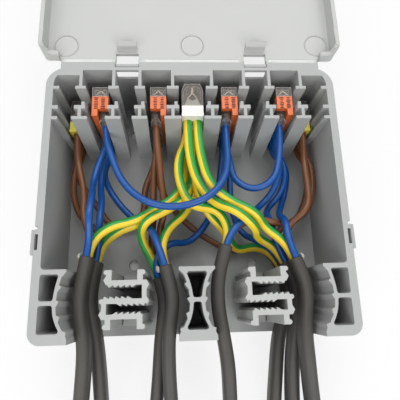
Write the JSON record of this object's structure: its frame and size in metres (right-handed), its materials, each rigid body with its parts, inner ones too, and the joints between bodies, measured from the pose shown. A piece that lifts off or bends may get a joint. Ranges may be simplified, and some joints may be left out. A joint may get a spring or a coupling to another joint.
{
  "type": "junction box",
  "caption": "Open hinged junction box with flat cables held by gripping inserts, and cores joined in push-in connectors behind a comb of dividers.",
  "frame": {"origin": "middle of the tray's underside, which rests on the surface or is screwed to it", "axes": "+Z out of the open mouth, +Y from the cable entries towards the hinge, +X to the right of someone who looks in from the cable side"},
  "size_m": [0.1228, 0.2908, 0.0456],
  "materials": {
    "tray_plastic": "moulded light grey, fine matt texture",
    "lid_plastic": "moulded light grey, satin",
    "clamp_plastic": "moulded light grey, satin",
    "clear_plastic": "smoky clear, polished",
    "cover_orange": "moulded orange",
    "cover_yellow": "moulded yellow",
    "cover_white": "moulded off-white",
    "spring_metal": "tinned spring strip",
    "sheath_grey": "extruded dark grey sheath",
    "insulation_brown": "extruded brown insulation",
    "insulation_blue": "extruded blue insulation",
    "sleeve_green_yellow": "yellow sleeve with green stripes"
  },
  "bodies": {
    "base": {"base_tray": "tray_plastic", "cable_clamp_left": "clamp_plastic", "cable_clamp_right": "clamp_plastic", "connector_1_housing": "clear_plastic", "connector_1_cover": "cover_yellow", "connector_1_contact": "spring_metal", "connector_2_housing": "clear_plastic", "connector_2_cover": "cover_orange", "connector_2_contact": "spring_metal", "connector_3_housing": "clear_plastic", "connector_3_cover": "cover_orange", "connector_3_contact": "spring_metal", "connector_4_housing": "clear_plastic", "connector_4_cover": "cover_white", "connector_4_contact": "spring_metal", "connector_5_housing": "clear_plastic", "connector_5_cover": "cover_orange", "connector_5_contact": "spring_metal", "connector_6_housing": "clear_plastic", "connector_6_cover": "cover_orange", "connector_6_contact": "spring_metal", "connector_7_housing": "clear_plastic", "connector_7_cover": "cover_yellow", "connector_7_contact": "spring_metal", "cable_1": "sheath_grey", "cable_2": "sheath_grey", "cable_3": "sheath_grey", "cable_4": "sheath_grey", "cable_5": "sheath_grey", "cable_6": "sheath_grey", "cable_7": "sheath_grey", "cable_8": "sheath_grey", "live_core_1": "insulation_brown", "live_core_2": "insulation_brown", "live_core_3": "insulation_brown", "live_core_4": "insulation_brown", "live_core_5": "insulation_brown", "live_core_6": "insulation_brown", "live_core_7": "insulation_brown", "live_core_8": "insulation_brown", "neutral_core_1": "insulation_blue", "neutral_core_2": "insulation_blue", "neutral_core_3": "insulation_blue", "neutral_core_4": "insulation_blue", "neutral_core_5": "insulation_blue", "neutral_core_6": "insulation_blue", "neutral_core_7": "insulation_blue", "neutral_core_8": "insulation_blue", "earth_core_1": "sleeve_green_yellow", "earth_core_2": "sleeve_green_yellow", "earth_core_3": "sleeve_green_yellow", "earth_core_4": "sleeve_green_yellow", "earth_core_5": "sleeve_green_yellow", "earth_core_6": "sleeve_green_yellow", "earth_core_7": "sleeve_green_yellow", "earth_core_8": "sleeve_green_yellow", "neutral_link_left": "insulation_blue", "neutral_link_right": "insulation_blue", "live_link": "insulation_brown"},
    "lid": {"lid": "lid_plastic"}
  },
  "joints": [
    {"name": "lid_hinge", "type": "hinge", "parent": "base", "child": "lid", "pos_m": [0, 0.05755, 0.0385], "axis": [1, 0, 0], "range_deg": [0, 180]}
  ]
}
